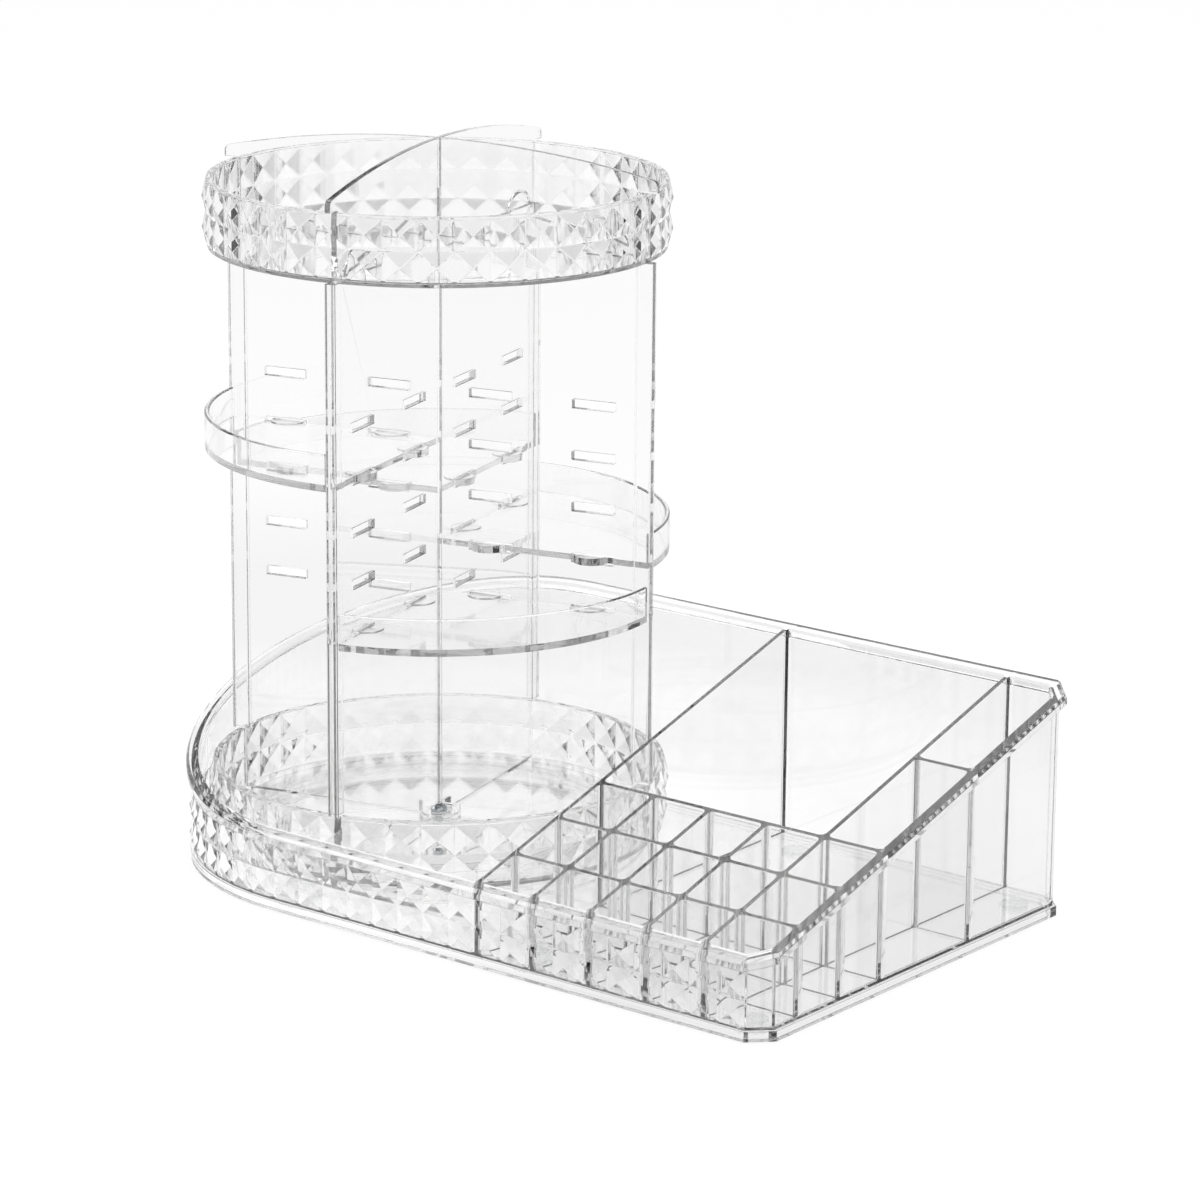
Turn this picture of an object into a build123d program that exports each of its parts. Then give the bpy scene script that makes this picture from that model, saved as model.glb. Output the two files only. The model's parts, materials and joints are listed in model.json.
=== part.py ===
from build123d import *
import os
from math import cos, radians, sin, sqrt, tan

# Rotating makeup organizer in clear moulded plastic, in millimetres.
# The origin is on the tower's axis, on the table. X runs along the base, Y to its back, Z up.

# Base tray: one moulding with a round end, a slanted rim, bins and lipstick cells
end_radius = 107.0  # outer face of the round end, and half of the base's depth
base_reach = 257.0  # from the tower's axis to the right-hand face
corner_cut = 8.5  # legs of the two cut corners at the right-hand end
base_wall = 2.4
base_floor = 2.4
front_height = 35.3  # rim plane above the table at the front face
back_height = 100.0  # rim plane above the table at the back face
bead_proud = 3.0  # how far the rim's bead stands out from the wall
bead_depth = 5.0  # bead measured square to the rim plane
bead_chamfer = 1.3
skirt_proud = 1.6  # skirt round the foot of the wall
skirt_height = 4.4
skirt_wall = 5.0

# Two rows of pyramids along the front and round the end
facet_root = 1.2  # how deep the faceted band roots in the wall
bead_room = 5.9  # from the rim plane down to the pyramids, at the front face
base_facet_proud = 1.9
front_facets = 18  # columns along the straight front
end_facets = 25  # columns round the end

# Dividers inside the base
divider_wall = 2.0
well_spare = 3.8  # between the end's radius and the divider beside the tower's well
cell_columns = 5
front_cell_depth = 23.6  # from the front wall's middle to the first row of dividers
cell_depth = 28.2
rear_bin_depth = 68.8  # from the back wall's middle

# Anti-slip pads
pad_radius = 6.0
pad_show = 0.6  # how far the pads stand below the skirt
pad_inset = 16.0
end_pads = 3

# Film of air or glue between pieces that rest on each other
seat_gap = 0.05

# Turntable
roller_radius = 2.9
roller_length = 6.0
roller_count = 8
roller_inset = 10.4  # roller circle inside the lower tray's inner wall
roller_clearance = 0.08  # to each race
race_width = 12.0
race_thick = 1.7
cage_width = 10.0
cage_thick = 2.8
pocket_clearance = 0.15

# Pivot under the tower
boss_radius = 5.0
screw_shank_radius = 1.8
screw_depth = 9.0
screw_hole_spare = 1.0  # hole below the screw's end
screw_head_radius = 4.0
screw_head_height = 2.4
screw_head_chamfer = 0.9
screw_recess_length = 4.8
screw_recess_width = 1.1
screw_recess_depth = 1.3
screw_clearance = 0.05
washer_radius = 9.0
washer_thick = 1.0
bush_wall = 2.0
bush_flange = 3.0  # flange beyond the bush's sleeve
bush_flange_thick = 1.2
running_fit = 0.06  # radial, bush on boss
press_gap = 0.03  # radial, bush in tray
axial_play = 0.3  # tray under the washer

# Round trays at the foot and the top of the tower
tower_turn = 14.4  # how far the tower stands turned, in degrees
tower_clearance = 4.6  # between the base's wall and the tips of the facets
tray_facet_proud = 2.0
tray_facets = 42  # columns round a tray
tray_facet_row = 13.3  # height of one row of pyramids, of two rows
tray_foot_band = 1.6  # plain band below the pyramids
tray_lip = 1.0  # plain band above the pyramids
tray_wall = 2.6
tray_floor = 2.2

# Crossed panels that carry the shelves
panel_thick = 3.0
panel_height = 254.0  # from the lower tray's floor to the upper tray's underside
panel_overhang = 0.7  # posts beyond the trays' facets
post_width = 8.0
post_thick = 5.0
post_round = 0.8
edge_clearance = 0.4  # panel and divider edges to a tray's inner wall
lap_clearance = 0.1  # round a half-lap
screw_room = 1.5  # round the washer and above the screw
tenon_inset = 15.4  # tenon's middle inside a tray's inner wall
tenon_length = 21.0
tenon_rise = 6.9  # above the upper tray's floor
centre_tenon = 14.0  # length of the tenon on the axis
centre_tenon_rise = 5.6
tenon_clearance = 0.3
notch_clearance = 0.6  # cross divider over the tenons

# Slots and shelves
slot_rows = 5
slot_pitch = 22.4
slot_drop = 65.2  # from the upper tray down to the lower edge of the highest slots
slot_length = 19.6
slot_inner_share = 0.25  # slots' middles as a share of the panel's reach
slot_outer_share = 0.731
slot_clearance = 0.3  # above and below a tab
tab_radius = 7.6
tab_thick = 3.2
tab_end_clearance = 0.4
shelf_plate = 2.6
shelf_rim = 15.7  # rim's top above the shelf's underside
shelf_rim_wall = 2.2
shelf_edge_clearance = 0.4  # shelf's straight edges to a panel or post
shelf_chamfer = 0.6
# Row of each shelf, counted from the top, in turn round the tower from the first quarter
shelf_rows = (4, 3, 2, 5)

# Arched cross divider in the upper tray
arch_thick = 2.4
arch_centre_rise = 16.2  # crown above the upper tray's rim
arch_end_rise = 5.2  # arm's end above that rim
arch_overhang = 2.0  # arms beyond the tray's facets
arch_end_round = 3.0
arch_rim_clearance = 0.3

# Sizes and heights that follow
skirt_bottom = pad_show
skirt_top = skirt_bottom + skirt_height
floor_top = skirt_top + pad_show
floor_bottom = floor_top - base_floor
base_facet_row = (front_height - bead_room - skirt_top) / 2
front_end = base_reach - corner_cut
end_step = 180 / end_facets
wall_middle = end_radius - base_wall / 2
right_middle = base_reach - base_wall / 2
well_divider_x = end_radius + well_spare
cell_pitch = (right_middle - well_divider_x) / cell_columns
tray_radius = end_radius - base_wall - tower_clearance
tray_valley = tray_radius - tray_facet_proud
tray_inner = tray_valley - tray_wall
roller_circle = tray_inner - roller_inset
tenon_centre = tray_inner - tenon_inset
foot_reach = tray_inner - edge_clearance
panel_reach = tray_radius + panel_overhang
arch_reach = tray_radius + arch_overhang
turntable_height = 2 * (seat_gap + race_thick + roller_clearance + roller_radius)
roller_height = floor_top + turntable_height / 2
tray_bottom = floor_top + turntable_height
tray_floor_top = tray_bottom + tray_floor
tray_height = tray_foot_band + 2 * tray_facet_row + tray_lip
lower_rim = tray_bottom + tray_height
boss_top = tray_floor_top + axial_play
bush_radius = boss_radius + running_fit + bush_wall
panel_bottom = tray_floor_top + seat_gap
panel_top = tray_floor_top + panel_height
post_bottom = lower_rim + seat_gap
top_tray_bottom = panel_top + seat_gap
top_tray_floor = top_tray_bottom + tray_floor
upper_rim = top_tray_bottom + tray_height
top_slot_height = panel_top - slot_drop
tab_room = tab_thick + 2 * slot_clearance
rim_plane = Plane(
    origin=(0, -end_radius, front_height),
    x_dir=(1, 0, 0),
    z_dir=(0, front_height - back_height, 2 * end_radius),
)


def ring_point(reach, angle):
    """Point at a distance from the tower's axis, at an angle in degrees."""
    return (reach * cos(radians(angle)), reach * sin(radians(angle)))


def turned(level, angle=0.0):
    """Level plane on the tower's axis, turned with the tower."""
    return Plane.XY.offset(level).rotated((0, 0, tower_turn + angle))


def upright(angle=0.0):
    """Upright plane through the tower's axis: X runs outwards, Y up."""
    outwards = ring_point(1, tower_turn + angle)
    return Plane(origin=(0, 0, 0), x_dir=(*outwards, 0), z_dir=(outwards[1], -outwards[0], 0))


def base_outline(level, grow=0.0):
    """Plan of the base at a height, grown or shrunk by an even offset."""
    with BuildSketch(Plane.XY.offset(level)) as plan:
        with BuildLine():
            Polyline(
                (0, -end_radius),
                (front_end, -end_radius),
                (base_reach, corner_cut - end_radius),
                (base_reach, end_radius - corner_cut),
                (front_end, end_radius),
                (0, end_radius),
            )
            CenterArc((0, 0), end_radius, 90, 180)
        make_face()
        if grow:
            offset(amount=grow, kind=Kind.INTERSECTION)
    return plan.sketch


def band_outline(level, grow):
    """Plan of the faceted band at a height, with one flat side for each column round the end."""
    corner = end_radius / cos(radians(end_step / 2))
    start = end_radius * tan(radians(end_step / 4))
    corners = [ring_point(corner, 270 - n * end_step) for n in range(1, end_facets)]
    with BuildSketch(Plane.XY.offset(level)) as plan:
        with BuildLine():
            Polyline(
                (front_end, -end_radius),
                (-start, -end_radius),
                *corners,
                (-start, end_radius),
                (front_end, end_radius),
                close=True,
            )
        make_face()
        offset(amount=grow, kind=Kind.INTERSECTION)
    return plan.sketch


def tray_outline(level, reach):
    """Plan of a tray's facets at a height, with one flat side for each column at that reach."""
    step = 360 / tray_facets
    corner = reach / cos(radians(step / 2))
    with BuildSketch(turned(level)) as plan:
        with BuildLine():
            Polyline(*[ring_point(corner, n * step) for n in range(tray_facets)], close=True)
        make_face()
    return plan.sketch


def divider(start, end):
    """Plan of one divider of the base, along X or Y between two points of its middle line."""
    length_x = abs(end[0] - start[0]) or divider_wall
    length_y = abs(end[1] - start[1]) or divider_wall
    with Locations(((start[0] + end[0]) / 2, (start[1] + end[1]) / 2)):
        Rectangle(length_x, length_y)


# Rim bead of the base, cut to a slab along the slanted rim plane
with BuildPart() as rim_bead:
    extrude(base_outline(0, bead_proud), amount=2 * back_height)
    extrude(base_outline(0, -base_wall), amount=2 * back_height, mode=Mode.SUBTRACT)
    split(bisect_by=rim_plane, keep=Keep.BOTTOM)
    split(bisect_by=rim_plane.offset(-bead_depth), keep=Keep.TOP)
    slab_faces = rim_bead.faces().sort_by(Axis(rim_plane.origin, rim_plane.z_dir))
    chamfer(slab_faces[0].outer_wire().edges() + slab_faces[-1].outer_wire().edges(), bead_chamfer)

# Faceted band of the base: a zigzag in height, met by a zigzag in plan
with BuildPart() as facet_band:
    zigzag = []
    for level in range(5):
        zigzag.append(band_outline(skirt_top + level * base_facet_row / 2, level % 2 * base_facet_proud))
    loft(zigzag, ruled=True)
    front_teeth = [
        (front_end * (1 - n / (2 * front_facets)), -end_radius - n % 2 * base_facet_proud)
        for n in range(2 * front_facets + 1)
    ]
    end_reaches = (end_radius / cos(radians(end_step / 2)), end_radius + base_facet_proud)
    end_teeth = [ring_point(end_reaches[n % 2], 270 - n * end_step / 2) for n in range(1, 2 * end_facets)]
    root = end_radius - facet_root
    with BuildSketch(Plane.XY.offset(skirt_top)):
        with BuildLine():
            Polyline(*front_teeth, *end_teeth, (0, end_radius), (0, root))
            CenterArc((0, 0), root, 90, 180)
            Polyline((0, -root), (front_end, -root), (front_end, -end_radius))
        make_face()
    extrude(amount=2 * base_facet_row, mode=Mode.INTERSECT)

with BuildPart() as base_tray:
    extrude(base_outline(skirt_bottom, skirt_proud), amount=skirt_height)
    extrude(base_outline(skirt_bottom), amount=2 * back_height)
    extrude(base_outline(skirt_bottom, -skirt_wall), amount=floor_bottom - skirt_bottom, mode=Mode.SUBTRACT)
    extrude(base_outline(floor_top, -base_wall), amount=2 * back_height, mode=Mode.SUBTRACT)
    # Dividers, all cut off with the walls by the rim plane
    with BuildSketch(Plane.XY.offset(floor_top)):
        row_lines = [front_cell_depth + row * cell_depth - wall_middle for row in range(3)]
        columns = [well_divider_x + column * cell_pitch for column in range(cell_columns)]
        for cell_x in columns[1:-1]:
            divider((cell_x, -wall_middle), (cell_x, row_lines[-1]))
        for cell_y in row_lines:
            divider((well_divider_x, cell_y), (right_middle, cell_y))
        for long_x in (columns[0], columns[-1]):
            divider((long_x, -wall_middle), (long_x, wall_middle))
        rear_line = wall_middle - rear_bin_depth
        divider((columns[-1], rear_line), (right_middle, rear_line))
    extrude(amount=2 * back_height)
    split(bisect_by=rim_plane, keep=Keep.BOTTOM)
    add(rim_bead.part)
    add(facet_band.part)
    # Boss that the tower turns on, with its screw hole
    with BuildSketch(Plane.XY.offset(floor_bottom)):
        Circle(boss_radius)
    extrude(amount=boss_top - floor_bottom)
    with BuildSketch(Plane.XY.offset(boss_top)):
        Circle(screw_shank_radius + screw_clearance)
    extrude(amount=-screw_depth - screw_hole_spare, mode=Mode.SUBTRACT)

# Pads under the floor: one on the axis, some round the end and some along the straight sides
with BuildPart() as anti_slip_pads:
    pad_circle = end_radius - pad_inset
    side_pads = [(x, y) for x in (base_reach / 2, base_reach - pad_inset) for y in (-pad_circle, pad_circle)]
    with BuildSketch():
        Circle(pad_radius)
        with PolarLocations(pad_circle, end_pads, start_angle=90, angular_range=180, endpoint=True):
            Circle(pad_radius)
        with Locations(*side_pads):
            Circle(pad_radius)
    extrude(amount=floor_bottom - seat_gap)

with BuildPart() as lower_race:
    with BuildSketch(Plane.XY.offset(floor_top + seat_gap)):
        Circle(roller_circle + race_width / 2)
        Circle(roller_circle - race_width / 2, mode=Mode.SUBTRACT)
    extrude(amount=race_thick)

with BuildPart() as upper_race:
    with BuildSketch(Plane.XY.offset(tray_bottom - seat_gap)):
        Circle(roller_circle + race_width / 2)
        Circle(roller_circle - race_width / 2, mode=Mode.SUBTRACT)
    extrude(amount=-race_thick)

with BuildPart() as roller_cage:
    with BuildSketch(Plane.XY.offset(roller_height - cage_thick / 2)):
        Circle(roller_circle + cage_width / 2)
        Circle(roller_circle - cage_width / 2, mode=Mode.SUBTRACT)
        with PolarLocations(roller_circle, roller_count):
            Rectangle(
                roller_length + 2 * pocket_clearance,
                2 * (roller_radius + pocket_clearance),
                mode=Mode.SUBTRACT,
            )
    extrude(amount=cage_thick)

with BuildPart() as rollers:
    roller_planes = []
    for n in range(roller_count):
        outwards = ring_point(1, n * 360 / roller_count)
        middle = (roller_circle * outwards[0], roller_circle * outwards[1], roller_height)
        roller_planes.append(Plane(origin=middle, z_dir=(*outwards, 0)))
    with BuildSketch(*roller_planes):
        Circle(roller_radius)
    extrude(amount=roller_length / 2, both=True)

# Pivot: a bush in the lower tray runs on the base's boss, under a washer and a screw
with BuildPart() as pivot_bush:
    flange_bottom = tray_bottom - seat_gap - bush_flange_thick
    with BuildSketch(Plane.XY.offset(flange_bottom)):
        Circle(bush_radius + bush_flange)
    extrude(amount=bush_flange_thick)
    with BuildSketch(Plane.XY.offset(flange_bottom)):
        Circle(bush_radius)
    extrude(amount=tray_floor_top - flange_bottom)
    with BuildSketch(Plane.XY.offset(flange_bottom)):
        Circle(boss_radius + running_fit)
    extrude(amount=tray_floor_top - flange_bottom, mode=Mode.SUBTRACT)

with BuildPart() as pivot_washer:
    with BuildSketch(Plane.XY.offset(boss_top + seat_gap)):
        Circle(washer_radius)
        Circle(screw_shank_radius + screw_clearance, mode=Mode.SUBTRACT)
    extrude(amount=washer_thick)

with BuildPart() as pivot_screw:
    head_bottom = boss_top + washer_thick + 2 * seat_gap
    head_top = head_bottom + screw_head_height
    with BuildSketch(Plane.XY.offset(head_bottom)):
        Circle(screw_shank_radius)
    extrude(amount=-screw_depth)
    with BuildSketch(Plane.XY.offset(head_bottom)):
        Circle(screw_head_radius)
    extrude(amount=screw_head_height)
    chamfer(pivot_screw.faces().sort_by(Axis.Z)[-1].edges(), screw_head_chamfer)
    with BuildSketch(Plane.XY.offset(head_top)):
        Rectangle(screw_recess_length, screw_recess_width)
        Rectangle(screw_recess_width, screw_recess_length)
    extrude(amount=-screw_recess_depth, mode=Mode.SUBTRACT)


def faceted_tray(bottom):
    """Round tray with two rows of pyramids outside its rim and slots for the panels' tenons."""
    facets_bottom = bottom + tray_foot_band
    step = 360 / tray_facets
    reaches = (tray_valley / cos(radians(step / 2)), tray_radius)
    with BuildPart() as tray:
        levels = []
        for level in range(5):
            reach = tray_valley + level % 2 * tray_facet_proud
            levels.append(tray_outline(facets_bottom + level * tray_facet_row / 2, reach))
        loft(levels, ruled=True)
        with BuildSketch(turned(facets_bottom)):
            with BuildLine():
                teeth = [ring_point(reaches[n % 2], n * step / 2) for n in range(2 * tray_facets)]
                Polyline(*teeth, close=True)
            make_face()
        extrude(amount=2 * tray_facet_row, mode=Mode.INTERSECT)
        with BuildSketch(Plane.XY.offset(bottom)):
            Circle(tray_valley)
        extrude(amount=tray_height)
        with BuildSketch(Plane.XY.offset(bottom + tray_floor)):
            Circle(tray_inner)
        extrude(amount=tray_height, mode=Mode.SUBTRACT)
        with BuildSketch(turned(bottom)):
            with PolarLocations(tenon_centre, 4):
                Rectangle(tenon_length + 2 * tenon_clearance, panel_thick + 2 * tenon_clearance)
        extrude(amount=tray_floor, mode=Mode.SUBTRACT)
    return tray.part


with BuildPart() as bottom_tray:
    add(faceted_tray(tray_bottom))
    with BuildSketch(Plane.XY.offset(tray_bottom)):
        Circle(bush_radius + press_gap)
    extrude(amount=tray_floor, mode=Mode.SUBTRACT)

with BuildPart() as top_tray:
    add(faceted_tray(top_tray_bottom))
    with BuildSketch(turned(top_tray_bottom)):
        Rectangle(centre_tenon + 2 * tenon_clearance, panel_thick + 2 * tenon_clearance)
        Rectangle(panel_thick + 2 * tenon_clearance, centre_tenon + 2 * tenon_clearance)
    extrude(amount=tray_floor, mode=Mode.SUBTRACT)


def slot_places():
    """Centres of one panel's slots, as distance along the panel and height."""
    heights = [top_slot_height - row * slot_pitch + tab_room / 2 for row in range(slot_rows)]
    shares = (-slot_outer_share, -slot_inner_share, slot_inner_share, slot_outer_share)
    return [(share * panel_reach, height) for share in shares for height in heights]


def cross_panel(angle, lap_from, lap_to):
    """Upright panel across the tower, half-lapped at the axis between two heights."""
    post_middle = panel_reach - post_width / 2
    notch_reach = washer_radius + screw_room
    screw_top = head_top + screw_room
    with BuildPart() as panel:
        with BuildSketch(upright(angle)):
            with Locations((0, (panel_bottom + panel_top) / 2)):
                Rectangle(2 * foot_reach, panel_top - panel_bottom)
            # Tenons down into the lower tray and up through the upper one
            for side in (-tenon_centre, tenon_centre):
                with Locations((side, tray_floor_top)):
                    Rectangle(tenon_length, 2 * tray_floor)
                with Locations((side, panel_top)):
                    Rectangle(tenon_length, 2 * (top_tray_floor - panel_top))
                with Locations((side, top_tray_floor)):
                    Ellipse(tenon_length / 2, tenon_rise)
            with Locations((0, panel_top)):
                Rectangle(centre_tenon, 2 * (top_tray_floor + centre_tenon_rise - panel_top))
            with Locations((0, (lap_from + lap_to) / 2)):
                Rectangle(panel_thick + 2 * lap_clearance, lap_to - lap_from, mode=Mode.SUBTRACT)
            with Locations((0, tray_floor_top)):
                Rectangle(2 * notch_reach, 2 * (screw_top - tray_floor_top), mode=Mode.SUBTRACT)
            with Locations(*slot_places()):
                Rectangle(slot_length, tab_room, mode=Mode.SUBTRACT)
        extrude(amount=panel_thick / 2, both=True)
        # Posts along both edges stand on the lower tray's rim
        with BuildSketch(turned(post_bottom, angle)):
            with Locations((-post_middle, 0), (post_middle, 0)):
                RectangleRounded(post_width, post_thick, post_round)
        extrude(amount=panel_top - post_bottom)
    return panel.part


lap_height = (panel_bottom + panel_top) / 2

with BuildPart() as long_panel:
    add(cross_panel(0, panel_bottom, lap_height + lap_clearance))

with BuildPart() as short_panel:
    add(cross_panel(90, lap_height - lap_clearance, top_tray_floor + centre_tenon_rise))


def shelf_underside(row):
    """Height of a shelf's underside when its tabs lie in a row of slots, counted from the top."""
    return top_slot_height - (row - 1) * slot_pitch + slot_clearance


def quarter_shelf(angle, row):
    """Quarter-round shelf with a rim on its curve and two round tabs on each straight edge."""
    plane = turned(shelf_underside(row), angle)
    plate_edge = panel_thick / 2 + shelf_edge_clearance
    post_edge = post_thick / 2 + shelf_edge_clearance
    # The step past a post starts early enough for the shelf to slide out along its middle line
    step = panel_reach - post_width - (post_edge - plate_edge) - shelf_edge_clearance
    corner = sqrt(tray_radius**2 - post_edge**2)
    inner_radius = tray_radius - shelf_rim_wall
    inner_corner = sqrt(inner_radius**2 - post_edge**2)
    tab_shift = tab_end_clearance + tab_radius - slot_length / 2
    tabs = [share * panel_reach + tab_shift for share in (slot_inner_share, slot_outer_share)]
    tab_places = [(tab, panel_thick / 2) for tab in tabs] + [(panel_thick / 2, tab) for tab in tabs]
    with BuildPart() as shelf:
        with BuildSketch(plane):
            with BuildLine():
                Polyline((corner, post_edge), (step, post_edge), (step, plate_edge), (plate_edge, plate_edge))
                Polyline((plate_edge, plate_edge), (plate_edge, step), (post_edge, step), (post_edge, corner))
                RadiusArc((post_edge, corner), (corner, post_edge), tray_radius)
            make_face()
        extrude(amount=shelf_plate)
        with BuildSketch(plane):
            with BuildLine():
                RadiusArc((post_edge, corner), (corner, post_edge), tray_radius)
                Line((corner, post_edge), (inner_corner, post_edge))
                RadiusArc((inner_corner, post_edge), (post_edge, inner_corner), -inner_radius)
                Line((post_edge, inner_corner), (post_edge, corner))
            make_face()
        extrude(amount=shelf_rim)
        chamfer(shelf.faces().sort_by(Axis.Z)[-1].edges(), shelf_chamfer)
        with BuildSketch(plane):
            with Locations(*tab_places):
                Circle(tab_radius)
        extrude(amount=tab_thick)
    return shelf.part


def arch_plate(angle, lap_from, lap_to):
    """Arched plate across the upper tray, cut out over the tenons and half-lapped at the axis."""
    plate_bottom = top_tray_floor + seat_gap
    arm_bottom = upper_rim + arch_rim_clearance
    arm_top = upper_rim + arch_end_rise
    with BuildPart() as plate:
        with BuildSketch(upright(angle)) as profile:
            with BuildLine():
                ThreePointArc((-arch_reach, arm_top), (0, arch_crown), (arch_reach, arm_top))
                Polyline((arch_reach, arm_top), (arch_reach, arm_bottom), (foot_reach, arm_bottom))
                Polyline((foot_reach, arm_bottom), (foot_reach, plate_bottom), (-foot_reach, plate_bottom))
                Polyline((-foot_reach, plate_bottom), (-foot_reach, arm_bottom), (-arch_reach, arm_bottom))
                Line((-arch_reach, arm_bottom), (-arch_reach, arm_top))
            make_face()
            fillet(profile.vertices().group_by(Axis.Y)[-1], arch_end_round)
            with Locations((-tenon_centre, top_tray_floor), (tenon_centre, top_tray_floor)):
                Ellipse(tenon_length / 2 + notch_clearance, tenon_rise + notch_clearance, mode=Mode.SUBTRACT)
            with Locations((0, top_tray_floor)):
                notch_height = centre_tenon_rise + notch_clearance
                Rectangle(centre_tenon + 2 * notch_clearance, 2 * notch_height, mode=Mode.SUBTRACT)
            with Locations((0, (lap_from + lap_to) / 2)):
                Rectangle(arch_thick + 2 * lap_clearance, lap_to - lap_from, mode=Mode.SUBTRACT)
        extrude(amount=arch_thick / 2, both=True)
    return plate.part


arch_crown = upper_rim + arch_centre_rise
arch_lap = (top_tray_floor + arch_crown) / 2

with BuildPart() as long_arch:
    add(arch_plate(0, top_tray_floor, arch_lap + lap_clearance))

with BuildPart() as short_arch:
    add(arch_plate(90, arch_lap - lap_clearance, arch_crown))

pieces = {
    "base_tray": base_tray.part,
    "anti_slip_pads": anti_slip_pads.part,
    "lower_race": lower_race.part,
    "upper_race": upper_race.part,
    "roller_cage": roller_cage.part,
    "rollers": rollers.part,
    "pivot_bush": pivot_bush.part,
    "pivot_washer": pivot_washer.part,
    "pivot_screw": pivot_screw.part,
    "bottom_tray": bottom_tray.part,
    "long_panel": long_panel.part,
    "short_panel": short_panel.part,
    "top_tray": top_tray.part,
    "long_arch": long_arch.part,
    "short_arch": short_arch.part,
}
for quarter, shelf_row in enumerate(shelf_rows):
    pieces[f"shelf_{quarter + 1}"] = quarter_shelf(90 * quarter, shelf_row)

os.makedirs("parts", exist_ok=True)
for name, piece in pieces.items():
    piece.label = name
    export_step(piece, f"parts/{name}.step")
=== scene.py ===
"""Studio scene of a clear rotating makeup organizer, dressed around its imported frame.

The frame holds every moulding, panel and shelf at its real size. This script rounds their edges,
fills the inner corners of the base, gives every piece its finish and sets a white studio with the
camera at the photograph's angle.
"""

import json
import logging
import math
from collections.abc import Sequence
from dataclasses import dataclass, replace
from enum import Enum

import bmesh
import bpy
from mathutils import Matrix, Vector

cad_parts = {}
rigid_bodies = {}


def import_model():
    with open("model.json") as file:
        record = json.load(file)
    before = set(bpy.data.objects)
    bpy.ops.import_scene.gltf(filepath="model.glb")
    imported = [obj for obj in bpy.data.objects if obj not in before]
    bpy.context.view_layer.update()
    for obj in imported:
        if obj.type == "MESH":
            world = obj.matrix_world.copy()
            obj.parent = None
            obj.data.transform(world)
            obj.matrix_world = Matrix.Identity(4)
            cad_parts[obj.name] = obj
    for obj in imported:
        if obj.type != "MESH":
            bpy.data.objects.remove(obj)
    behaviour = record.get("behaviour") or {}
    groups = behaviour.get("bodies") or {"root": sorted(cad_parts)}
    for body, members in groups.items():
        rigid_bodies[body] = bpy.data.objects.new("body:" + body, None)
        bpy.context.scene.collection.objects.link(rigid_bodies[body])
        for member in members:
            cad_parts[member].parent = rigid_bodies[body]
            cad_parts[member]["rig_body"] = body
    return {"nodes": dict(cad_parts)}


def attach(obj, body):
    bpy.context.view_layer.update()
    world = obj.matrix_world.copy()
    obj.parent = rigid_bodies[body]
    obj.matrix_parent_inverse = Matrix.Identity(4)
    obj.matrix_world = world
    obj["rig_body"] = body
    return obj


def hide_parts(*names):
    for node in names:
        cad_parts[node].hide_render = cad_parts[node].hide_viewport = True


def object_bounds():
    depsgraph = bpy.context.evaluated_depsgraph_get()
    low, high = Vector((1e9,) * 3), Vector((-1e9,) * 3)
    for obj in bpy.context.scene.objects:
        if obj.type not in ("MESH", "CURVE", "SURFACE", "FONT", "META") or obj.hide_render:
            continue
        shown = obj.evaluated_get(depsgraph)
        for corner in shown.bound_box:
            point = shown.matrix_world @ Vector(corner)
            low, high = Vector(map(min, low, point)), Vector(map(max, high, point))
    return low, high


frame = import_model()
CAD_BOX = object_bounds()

LOG = logging.getLogger("organizer")
MM = 0.001
MERGE = 0.01 * MM
FLAT_ANGLE = math.radians(0.4)
SOFT_ANGLE = math.radians(35.0)


class Slot(Enum):
    """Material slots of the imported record."""

    PLASTIC = "clear_plastic"
    RUBBER = "clear_rubber"
    STEEL = "steel"


def linear(hex_colour: str) -> tuple[float, float, float, float]:
    """Turn an sRGB hex colour into linear RGBA.

    Args:
        hex_colour: Six hex digits, with or without a leading hash.

    Returns:
        Linear red, green, blue and an alpha of one.
    """
    digits = hex_colour.lstrip("#")
    channels = []
    for start in (0, 2, 4):
        value = int(digits[start:start + 2], 16) / 255
        channels.append(value / 12.92 if value <= 0.04045 else ((value + 0.055) / 1.055) ** 2.4)
    return (*channels, 1.0)


def add_node(
    tree: bpy.types.NodeTree,
    kind: str,
    sockets: dict[str | int, object] | None = None,
    **settings: object,
) -> bpy.types.Node:
    """Add one node, set its properties and fill or link its input sockets.

    Args:
        tree: Node tree that takes the node.
        kind: Blender's type name of the node.
        sockets: Input names or places, each with a value or an output socket to link.
        **settings: Properties of the node itself.

    Returns:
        The new node.
    """
    made = tree.nodes.new(kind)
    for name, value in settings.items():
        setattr(made, name, value)
    for name, value in (sockets or {}).items():
        if isinstance(value, bpy.types.NodeSocket):
            tree.links.new(value, made.inputs[name])
        else:
            made.inputs[name].default_value = value
    return made


def add_ramp(
    tree: bpy.types.NodeTree, source: bpy.types.NodeSocket, rows: Sequence[tuple[float, float]]
) -> bpy.types.NodeSocket:
    """Turn a value into a grey level along rows of places and levels.

    Args:
        tree: Node tree that takes the ramp.
        source: Output socket with the value.
        rows: Places from zero to one, each with its level.

    Returns:
        The socket that gives the level.
    """
    ramp = add_node(tree, "ShaderNodeValToRGB", {"Fac": source})
    stops = ramp.color_ramp.elements
    while len(stops) < len(rows):
        stops.new(1.0)
    for stop, (place, level) in zip(stops, rows):
        stop.position = place
        stop.color = (level, level, level, 1.0)
    return ramp.outputs["Color"]


def empty_material(name: str) -> bpy.types.Material:
    """Make a node material with no nodes in it.

    Args:
        name: Name of the material.

    Returns:
        The new material.
    """
    material = bpy.data.materials.new(name)
    material.use_nodes = True
    material.node_tree.nodes.clear()
    return material


def wake(piece: bpy.types.Object) -> None:
    """Make one object the only selected and active one.

    Args:
        piece: Object that the next operators act on.
    """
    bpy.ops.object.select_all(action="DESELECT")
    piece.select_set(True)
    bpy.context.view_layer.objects.active = piece


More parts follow.
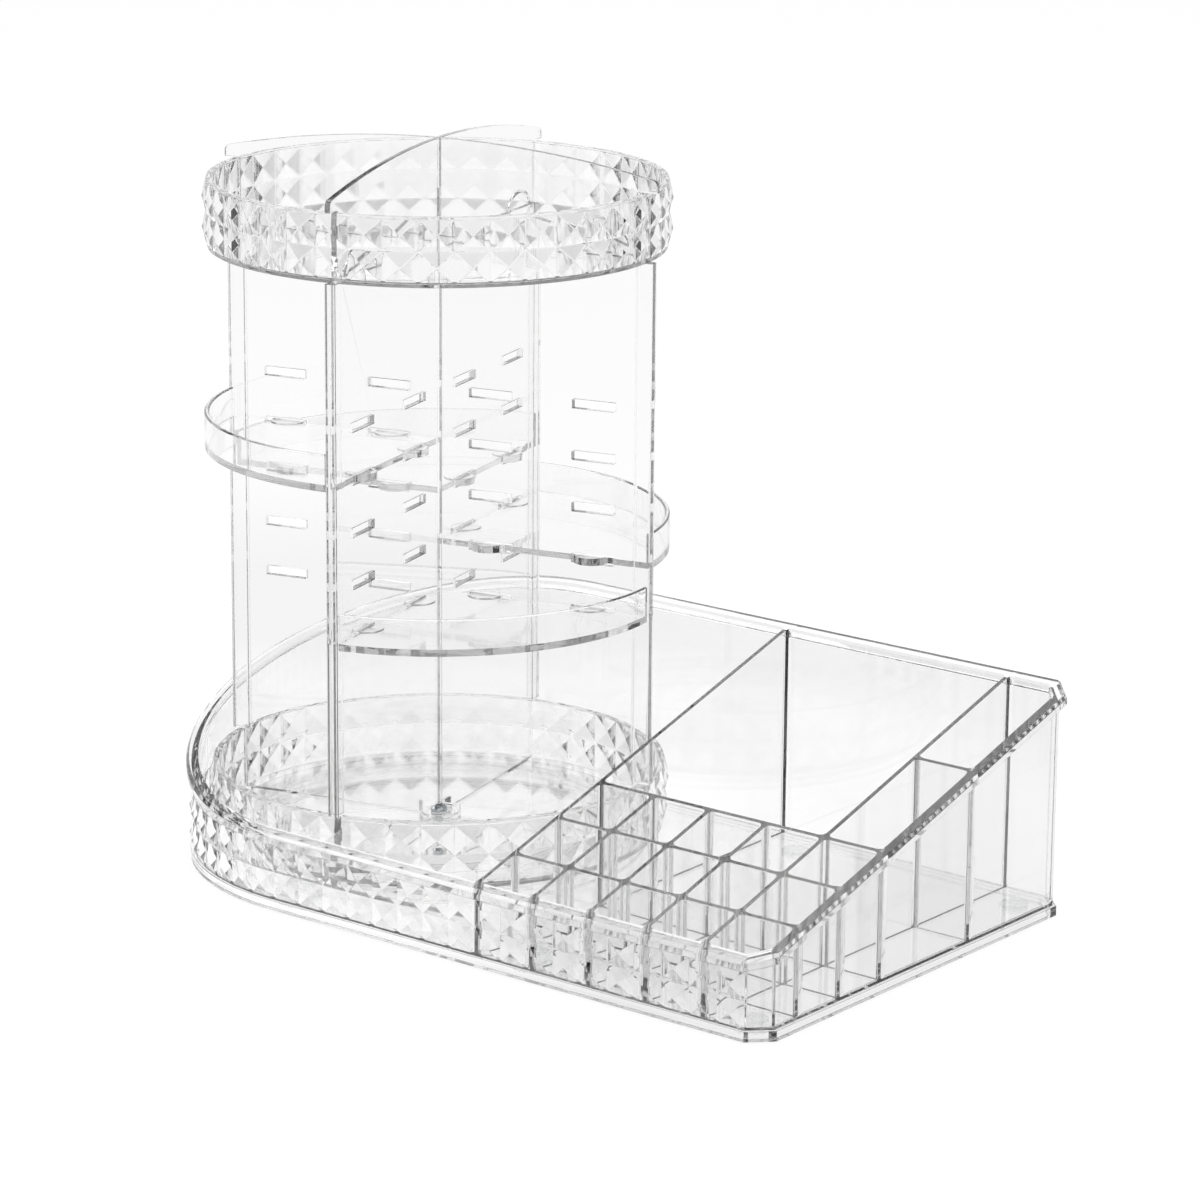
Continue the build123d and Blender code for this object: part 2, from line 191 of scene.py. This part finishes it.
@dataclass(frozen=True)
class ClearMoulding:
    """A clear injection-moulded plastic with a polished tool finish.

    The melt leaves very shallow waves where it flowed, which bend the view a little, and handling
    leaves a faint uneven haze in the gloss. The plastic takes a little light along its depth, so
    that edges look greyer than faces.
    """

    slot: Slot
    name: str
    colour: str
    ior: float
    roughness: tuple[float, float]
    wave_mm: float
    wave_depth_mm: float
    haze_mm: float
    loss_per_m: float

    def material(self) -> bpy.types.Material:
        """Build the material.

        Returns:
            A transmissive material with flow waves, a faint haze and a little loss in depth.
        """
        material = empty_material(self.name)
        tree = material.node_tree
        place = add_node(tree, "ShaderNodeTexCoord").outputs["Object"]
        haze = add_node(
            tree,
            "ShaderNodeTexNoise",
            {"Vector": place, "Scale": 1 / (self.haze_mm * MM), "Detail": 3.0},
        )
        gloss = add_node(
            tree,
            "ShaderNodeMapRange",
            {"Value": haze.outputs["Fac"], "To Min": self.roughness[0], "To Max": self.roughness[1]},
        )
        waves = add_node(
            tree,
            "ShaderNodeTexNoise",
            {"Vector": place, "Scale": 1 / (self.wave_mm * MM), "Detail": 1.0},
        )
        ripple = add_node(
            tree,
            "ShaderNodeBump",
            {"Height": waves.outputs["Fac"], "Strength": 1.0, "Distance": self.wave_depth_mm * MM},
        )
        surface = add_node(
            tree,
            "ShaderNodeBsdfPrincipled",
            {
                "Base Color": linear(self.colour),
                "Roughness": gloss.outputs["Result"],
                "IOR": self.ior,
                "Transmission Weight": 1.0,
                "Normal": ripple.outputs["Normal"],
            },
        )
        depth = add_node(
            tree, "ShaderNodeVolumeAbsorption", {"Color": linear("#000000"), "Density": self.loss_per_m}
        )
        add_node(
            tree,
            "ShaderNodeOutputMaterial",
            {"Surface": surface.outputs["BSDF"], "Volume": depth.outputs["Volume"]},
        )
        return material


@dataclass(frozen=True)
class PlatedSteel:
    """Zinc-plated steel, bright with a fine crystalline mottle."""

    slot: Slot
    name: str
    colour: str
    roughness: tuple[float, float]
    mottle_mm: float

    def material(self) -> bpy.types.Material:
        """Build the material.

        Returns:
            A metal with uneven gloss.
        """
        material = empty_material(self.name)
        tree = material.node_tree
        place = add_node(tree, "ShaderNodeTexCoord").outputs["Object"]
        mottle = add_node(
            tree,
            "ShaderNodeTexNoise",
            {"Vector": place, "Scale": 1 / (self.mottle_mm * MM), "Detail": 4.0},
        )
        gloss = add_node(
            tree,
            "ShaderNodeMapRange",
            {"Value": mottle.outputs["Fac"], "To Min": self.roughness[0], "To Max": self.roughness[1]},
        )
        surface = add_node(
            tree,
            "ShaderNodeBsdfPrincipled",
            {"Base Color": linear(self.colour), "Metallic": 1.0, "Roughness": gloss.outputs["Result"]},
        )
        add_node(tree, "ShaderNodeOutputMaterial", {"Surface": surface.outputs["BSDF"]})
        return material


Finish = ClearMoulding | PlatedSteel

# Crystal polystyrene: water-clear and glossy, with a high index that makes the facets sparkle.
CLEAR_PLASTIC = ClearMoulding(
    slot=Slot.PLASTIC,
    name="crystal_polystyrene_moulded",
    colour="#FEFEFE",
    ior=1.58,
    roughness=(0.0, 0.02),
    wave_mm=45.0,
    wave_depth_mm=0.02,
    haze_mm=30.0,
    loss_per_m=6.0,
)

# A darker copy of the same plastic, with more loss in depth, for the base alone: painted shade that
# greys its long walls along their edges.
SHADED_BASE_PLASTIC = replace(CLEAR_PLASTIC, name="crystal_polystyrene_shaded_base", loss_per_m=10.0)

# Thermoplastic rubber: clear but slightly milky, with a soft satin skin.
PAD_RUBBER = ClearMoulding(
    slot=Slot.RUBBER,
    name="clear_rubber_moulded",
    colour="#F4F6F6",
    ior=1.5,
    roughness=(0.2, 0.35),
    wave_mm=4.0,
    wave_depth_mm=0.02,
    haze_mm=3.0,
    loss_per_m=20.0,
)

# Zinc-plated steel: a bright cool grey that breaks into small soft patches.
SCREW_STEEL = PlatedSteel(
    slot=Slot.STEEL,
    name="zinc_plated_steel_turned",
    colour="#C9CDD0",
    roughness=(0.18, 0.34),
    mottle_mm=1.5,
)


@dataclass
class SubAssembly:
    """Nodes of the frame that share one mould radius and one finish."""

    nodes: tuple[str, ...] = ()
    finish: Finish = CLEAR_PLASTIC
    edge_mm: float = 0.25
    edge_steps: int = 2
    edge_angle: float = 14.0
    unclamped: tuple[str, ...] = ()

    def build(self) -> list[bpy.types.Object]:
        """Round the shown edges of every node with live modifiers.

        Returns:
            The pieces that are shown.
        """
        pieces = [frame["nodes"][name] for name in self.nodes]
        for name, piece in zip(self.nodes, pieces):
            piece.modifiers.new("weld", "WELD").merge_threshold = MERGE
            flat = piece.modifiers.new("flat", "DECIMATE")
            flat.decimate_type = "DISSOLVE"
            flat.angle_limit = FLAT_ANGLE
            self.add_radius(piece, name not in self.unclamped)
            piece.modifiers.new("even", "WEIGHTED_NORMAL").keep_sharp = True
        return pieces

    def add_radius(self, piece: bpy.types.Object, clamp: bool) -> None:
        """Add the modifier that rounds every sharp edge.

        Args:
            piece: Object that gets the radius.
            clamp: Whether short edges may hold the radius back.
        """
        edge = piece.modifiers.new("edge", "BEVEL")
        edge.width = self.edge_mm * MM
        edge.segments = self.edge_steps
        edge.limit_method = "ANGLE"
        edge.angle_limit = math.radians(self.edge_angle)
        edge.use_clamp_overlap = clamp

    def dress(self, pieces: list[bpy.types.Object], coat: bpy.types.Material) -> None:
        """Give every piece its finish.

        Args:
            pieces: Objects to dress.
            coat: Material of their finish.
        """
        for piece in pieces:
            piece.data.materials.clear()
            piece.data.materials.append(coat)
            LOG.info("%s: %s in %s", type(self).__name__, piece.name, coat.name)


@dataclass(frozen=True)
class Corner:
    """One upright inner corner between two walls."""

    foot: Vector
    head: Vector
    room: Vector
    lid: Vector


@dataclass
class BaseMoulding(SubAssembly):
    """The base tray, with the fillets that its mould leaves where dividers meet walls.

    Each fillet is cut from a post that sinks into the walls and the floor, stands over the wall tops
    until it is cut flush, and is pressed in so far that its thin edges end inside the walls. A corner
    counts when it is upright, long enough and sharp enough.
    """

    nodes: tuple[str, ...] = ("base_tray",)
    # painted shade: the base takes the darker copy of the clear plastic
    finish: Finish = SHADED_BASE_PLASTIC
    fillet_mm: float = 2.6
    fillet_steps: int = 12
    fillet_profile: float = 0.0625
    sink_mm: float = 0.4
    over_mm: float = 1.2
    press_mm: float = 0.04
    upright_share: float = 0.99
    least_mm: float = 2.0
    least_angle: float = 60.0

    def build(self) -> list[bpy.types.Object]:
        """Copy the base tray, round its edges and fill its inner corners.

        Returns:
            The piece that stands for the base tray.
        """
        node = frame["nodes"][self.nodes[0]]
        piece = bpy.data.objects.new("base_tray_moulded", node.data.copy())
        bpy.context.scene.collection.objects.link(piece)
        wake(piece)
        bpy.ops.mesh.customdata_custom_splitnormals_clear()
        bpy.ops.object.mode_set(mode="EDIT")
        bpy.ops.mesh.select_all(action="SELECT")
        bpy.ops.mesh.remove_doubles(threshold=MERGE)
        bpy.ops.mesh.dissolve_limited(angle_limit=FLAT_ANGLE)
        corners = self.find_corners(piece.data)
        bpy.ops.object.mode_set(mode="OBJECT")
        fillets = self.build_fillets(corners)
        wake(piece)
        self.add_radius(piece, clamp=False)
        bpy.ops.object.modifier_apply(modifier="edge")
        join = piece.modifiers.new("join", "BOOLEAN")
        join.operation = "UNION"
        join.solver = "MANIFOLD"
        join.object = fillets
        bpy.ops.object.modifier_apply(modifier="join")
        bpy.data.objects.remove(fillets)
        bpy.ops.object.shade_smooth_by_angle(angle=SOFT_ANGLE)
        piece.modifiers.new("even", "WEIGHTED_NORMAL").keep_sharp = True
        bpy.ops.object.modifier_apply(modifier="even")
        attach(piece, node["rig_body"])
        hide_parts(self.nodes[0])
        LOG.info("filled %d inner corners", len(corners))
        return [piece]

    def find_corners(self, mesh: bpy.types.Mesh) -> list[Corner]:
        """Find the upright inner corners of a merged mesh in edit mode.

        Args:
            mesh: Mesh in edit mode.

        Returns:
            The corners, each with its ends, the way into the room and the slope of the wall tops.
        """
        corners = []
        shape = bmesh.from_edit_mesh(mesh)
        shape.normal_update()
        for edge in shape.edges:
            foot, head = sorted(edge.verts, key=lambda vert: vert.co.z)
            run = head.co - foot.co
            upright = run.z > self.upright_share * run.length
            if not upright or run.length <= self.least_mm * MM or edge.is_convex:
                continue
            if edge.calc_face_angle() < math.radians(self.least_angle):
                continue
            room = edge.link_faces[0].normal + edge.link_faces[1].normal
            lid = max((face.normal for face in head.link_faces), key=lambda normal: normal.z)
            corners.append(Corner(foot.co.copy(), head.co.copy(), room, lid.copy()))
        return corners

    def build_fillets(self, corners: list[Corner]) -> bpy.types.Object:
        """Build a hollow-faced post in every corner and cut all of them flush with the wall tops.

        Args:
            corners: Corners to fill.

        Returns:
            One object that holds all the posts.
        """
        reach, sink = self.fillet_mm * MM, self.sink_mm * MM
        over, press = self.over_mm * MM, self.press_mm * MM
        mesh = bpy.data.meshes.new("corner_fillets")
        fillets = bpy.data.objects.new("corner_fillets", mesh)
        bpy.context.scene.collection.objects.link(fillets)
        wake(fillets)
        bpy.ops.object.mode_set(mode="EDIT")
        bpy.ops.mesh.select_mode(type="EDGE")
        for corner in corners:
            middle = corner.foot + corner.room * ((reach - sink) / 2 - press)
            height = sink + corner.head.z - corner.foot.z + over
            middle.z += height / 2 - sink
            bpy.ops.mesh.primitive_cube_add(
                size=1.0, location=middle, scale=(reach + sink, reach + sink, height)
            )
        bpy.ops.mesh.select_all(action="DESELECT")
        outer = [corner.foot + corner.room * (reach - press) for corner in corners]
        shape = bmesh.from_edit_mesh(mesh)
        for edge in shape.edges:
            ends = [vert.co.xy for vert in edge.verts]
            edge.select_set(any(all((end - place.xy).length < MERGE for end in ends) for place in outer))
        bmesh.update_edit_mesh(mesh)
        bpy.ops.mesh.bevel(
            offset=reach, segments=self.fillet_steps, profile=self.fillet_profile, clamp_overlap=False
        )
        bpy.ops.mesh.select_all(action="SELECT")
        top = corners[0]
        bpy.ops.mesh.bisect(plane_co=top.head, plane_no=top.lid, use_fill=True, clear_outer=True)
        bpy.ops.object.mode_set(mode="OBJECT")
        return fillets


@dataclass
class SlipPads(SubAssembly):
    """The soft pads under the base."""

    nodes: tuple[str, ...] = ("anti_slip_pads",)
    finish: Finish = PAD_RUBBER


@dataclass
class Turntable(SubAssembly):
    """The races, the cage and its rollers, with the pivot's bush and washer."""

    nodes: tuple[str, ...] = (
        "lower_race", "upper_race", "roller_cage", "rollers", "pivot_bush", "pivot_washer"
    )


@dataclass
class PivotScrew(SubAssembly):
    """The screw that holds the tower down."""

    nodes: tuple[str, ...] = ("pivot_screw",)
    finish: Finish = SCREW_STEEL
    edge_mm: float = 0.1


@dataclass
class Tower(SubAssembly):
    """The faceted lower tray and the two half-lapped panels that stand in it."""

    nodes: tuple[str, ...] = ("bottom_tray", "long_panel", "short_panel")
    unclamped: tuple[str, ...] = ("bottom_tray",)


@dataclass
class ShelfSet(SubAssembly):
    """The four quarter shelves that hang in the panels' slots."""

    nodes: tuple[str, ...] = ("shelf_1", "shelf_2", "shelf_3", "shelf_4")


@dataclass
class TopTray(SubAssembly):
    """The faceted tray on the panels' tenons."""

    nodes: tuple[str, ...] = ("top_tray",)
    unclamped: tuple[str, ...] = ("top_tray",)


@dataclass
class CrossDivider(SubAssembly):
    """The two half-lapped arches that divide the top tray."""

    nodes: tuple[str, ...] = ("long_arch", "short_arch")


@dataclass(frozen=True)
class SoftBox:
    """A rectangular lamp, in metres and watts, that lights the floor and stays unseen in the plastic."""

    name: str
    place: tuple[float, float, float]
    size: tuple[float, float]
    power: float

    def build(self, target: Vector) -> None:
        """Set the lamp in its place.

        Args:
            target: Point that the lamp faces.
        """
        lamp = bpy.data.lights.new(self.name, "AREA")
        lamp.shape = "RECTANGLE"
        lamp.size, lamp.size_y = self.size
        lamp.energy = self.power
        box = bpy.data.objects.new(self.name, lamp)
        bpy.context.scene.collection.objects.link(box)
        box.location = self.place
        box.visible_transmission = False
        box.visible_glossy = False
        box.rotation_euler = (target - Vector(self.place)).to_track_quat("-Z", "Y").to_euler()


@dataclass
class Studio:
    """White floor, soft light and the camera of the photograph, in metres and degrees.

    Painted glow rows are distances from the tower's axis, each with the brightness that rays other than
    the camera's see on the floor there: a painted pool of light under the tower and a painted darker
    ring round it. Sky rows are heights above the horizon, each with its brightness. Flag levels are the
    brightness of the cards in turn, from straight behind the part round to the camera, the same on both
    sides.
    """

    floor_half: float = 6.0
    floor_share: float = 0.92
    # painted light: a brighter pool under the tower and a darker ring round it, in the floor's glow
    painted_glow_rows: tuple[tuple[float, float], ...] = (
        (0.00, 1.18),
        (0.10, 1.18),
        (0.20, 0.98),
        (0.28, 0.98),
        (0.36, 0.88),
        (0.50, 0.88),
        (0.70, 0.97),
    )
    sky: tuple[tuple[float, float], ...] = (
        (0.0, 1.0),
        (6.0, 1.0),
        (10.0, 1.08),
        (20.0, 1.08),
        (23.0, 0.1),
        (32.0, 0.1),
        (36.0, 1.8),
        (58.0, 1.8),
        (64.0, 0.05),
        (90.0, 0.05),
    )
    boxes: tuple[SoftBox, ...] = (
        SoftBox("top_box", (0.1, 0.0, 1.6), (1.4, 1.4), 22.0),
        SoftBox("left_box", (-1.6, -0.6, 0.7), (0.5, 1.2), 10.0),
        SoftBox("right_box", (1.4, 1.0, 0.8), (0.5, 1.2), 10.0),
    )
    flag_levels: tuple[float, ...] = (0.8, 0.0, 0.0, 0.6)
    flag_radius: float = 0.9
    flag_foot: float = 0.1
    flag_size: tuple[float, float] = (0.24, 0.8)
    camera_place: tuple[float, float, float] = (1.29631, -1.51838, 0.65451)
    camera_azimuth: float = 38.476
    camera_pitch: float = 15.140
    camera_roll: float = 0.476
    camera_sight: float = 50.0
    focal_px: float = 4767.5
    image_px: float = 1200.0
    sensor_mm: float = 36.0
    bounces: int = 64

    def build(self) -> None:
        """Make the floor, the light and the camera."""
        self.build_floor()
        self.build_sky()
        self.build_boxes()
        self.build_flags()
        self.build_camera()
        self.set_paths()

    def build_floor(self) -> None:
        """Lay a white floor, with a painted pool of light under the tower and a painted darker ring
        round it that only rays other than the camera's see.
        """
        bpy.ops.object.select_all(action="DESELECT")
        bpy.ops.mesh.primitive_plane_add(size=2 * self.floor_half)
        floor = bpy.context.object
        floor.name = "studio_floor"
        material = empty_material("studio_floor_white")
        tree = material.node_tree
        place = add_node(tree, "ShaderNodeTexCoord").outputs["Object"]
        away = add_node(tree, "ShaderNodeVectorMath", {0: place}, operation="LENGTH")
        # painted light: the floor's glow is brighter under the tower and darker in a ring, except for
        # the camera
        painted_pool = add_ramp(tree, away.outputs["Value"], self.painted_glow_rows)
        seen = add_node(tree, "ShaderNodeLightPath").outputs["Is Camera Ray"]
        level = add_node(tree, "ShaderNodeMapRange", {"Value": seen, "To Min": painted_pool, "To Max": 1.0})
        matt = add_node(tree, "ShaderNodeBsdfDiffuse", {"Color": linear("#F2F2F2")})
        white = add_node(tree, "ShaderNodeEmission", {"Strength": level.outputs[0]})
        mixed = add_node(
            tree, "ShaderNodeMixShader", {0: self.floor_share, 1: matt.outputs[0], 2: white.outputs[0]}
        )
        add_node(tree, "ShaderNodeOutputMaterial", {"Surface": mixed.outputs[0]})
        floor.data.materials.append(material)

    def build_sky(self) -> None:
        """Band the sky by height, and keep it plain white for the camera."""
        world = bpy.data.worlds.new("studio_world")
        world.use_nodes = True
        bpy.context.scene.world = world
        tree = world.node_tree
        tree.nodes.clear()
        way = add_node(tree, "ShaderNodeTexCoord").outputs["Generated"]
        axes = add_node(tree, "ShaderNodeSeparateXYZ", {"Vector": way})
        height = add_node(tree, "ShaderNodeMath", {0: axes.outputs["Z"]}, operation="ARCSINE")
        share = add_node(
            tree, "ShaderNodeMath", {0: height.outputs[0], 1: 2 / math.pi}, operation="MULTIPLY"
        )
        rows = [(degrees / 90, level) for degrees, level in self.sky]
        shade = add_ramp(tree, share.outputs[0], rows)
        seen = add_node(tree, "ShaderNodeLightPath").outputs["Is Camera Ray"]
        room = add_node(tree, "ShaderNodeBackground", {"Color": shade})
        white = add_node(tree, "ShaderNodeBackground", {"Color": linear("#FFFFFF")})
        mixed = add_node(tree, "ShaderNodeMixShader", {0: seen, 1: room.outputs[0], 2: white.outputs[0]})
        add_node(tree, "ShaderNodeOutputWorld", {"Surface": mixed.outputs[0]})

    def build_boxes(self) -> None:
        """Hang a soft box overhead and stand one on each side."""
        middle = (CAD_BOX[0] + CAD_BOX[1]) / 2
        for box in self.boxes:
            box.build(middle)

    def build_flags(self) -> None:
        """Stand cards round the table, unseen by the camera, that draw grey lines in the plastic."""
        width, height = self.flag_size
        levels = self.flag_levels + self.flag_levels[::-1]
        for number, level in enumerate(levels):
            angle = math.radians(90 + self.camera_azimuth + 360 * (number + 0.5) / len(levels))
            bpy.ops.object.select_all(action="DESELECT")
            bpy.ops.mesh.primitive_plane_add(
                size=1.0,
                location=(
                    self.flag_radius * math.cos(angle),
                    self.flag_radius * math.sin(angle),
                    self.flag_foot + height / 2,
                ),
                rotation=(math.pi / 2, 0.0, angle + math.pi / 2),
            )
            flag = bpy.context.object
            flag.name = f"flag_{number}"
            flag.scale = (width, height, 1.0)
            material = empty_material(f"flag_card_{number}")
            card = add_node(material.node_tree, "ShaderNodeEmission", {"Strength": level})
            add_node(material.node_tree, "ShaderNodeOutputMaterial", {"Surface": card.outputs[0]})
            flag.data.materials.append(material)
            flag.visible_camera = False
            flag.visible_diffuse = False
            flag.visible_shadow = False

    def build_camera(self) -> None:
        """Stand the camera where the photograph was taken."""
        data = bpy.data.cameras.new("photo_camera")
        data.sensor_width = self.sensor_mm
        data.lens = self.focal_px / self.image_px * self.sensor_mm
        data.clip_end = self.camera_sight
        camera = bpy.data.objects.new("photo_camera", data)
        bpy.context.scene.collection.objects.link(camera)
        azimuth, pitch, roll = (
            math.radians(angle) for angle in (self.camera_azimuth, self.camera_pitch, self.camera_roll)
        )
        level = Vector((math.cos(azimuth), math.sin(azimuth), 0.0))
        inward = Vector((-math.sin(azimuth), math.cos(azimuth), 0.0))
        ahead = math.cos(pitch) * inward - Vector((0.0, 0.0, math.sin(pitch)))
        right = math.cos(roll) * level + math.sin(roll) * level.cross(ahead)
        turn = Matrix((right, right.cross(ahead), -ahead)).transposed()
        camera.matrix_world = Matrix.Translation(self.camera_place) @ turn.to_4x4()
        bpy.context.scene.camera = camera

    def set_paths(self) -> None:
        """Let light cross every clear wall in line, and keep colours as they are."""
        scene = bpy.context.scene
        scene.view_settings.view_transform = "Standard"
        scene.cycles.max_bounces = self.bounces
        scene.cycles.transmission_bounces = self.bounces
        scene.cycles.glossy_bounces = self.bounces


def main() -> None:
    """Build and dress every sub-assembly, then the studio."""
    logging.basicConfig(level=logging.INFO, format="%(name)s: %(message)s")
    finishes = (CLEAR_PLASTIC, SHADED_BASE_PLASTIC, PAD_RUBBER, SCREW_STEEL)
    coats = {finish: finish.material() for finish in finishes}
    for part in (
        BaseMoulding(),
        SlipPads(),
        Turntable(),
        PivotScrew(),
        Tower(),
        ShelfSet(),
        TopTray(),
        CrossDivider(),
    ):
        part.dress(part.build(), coats[part.finish])
    Studio().build()


if __name__ == "__main__":
    main()
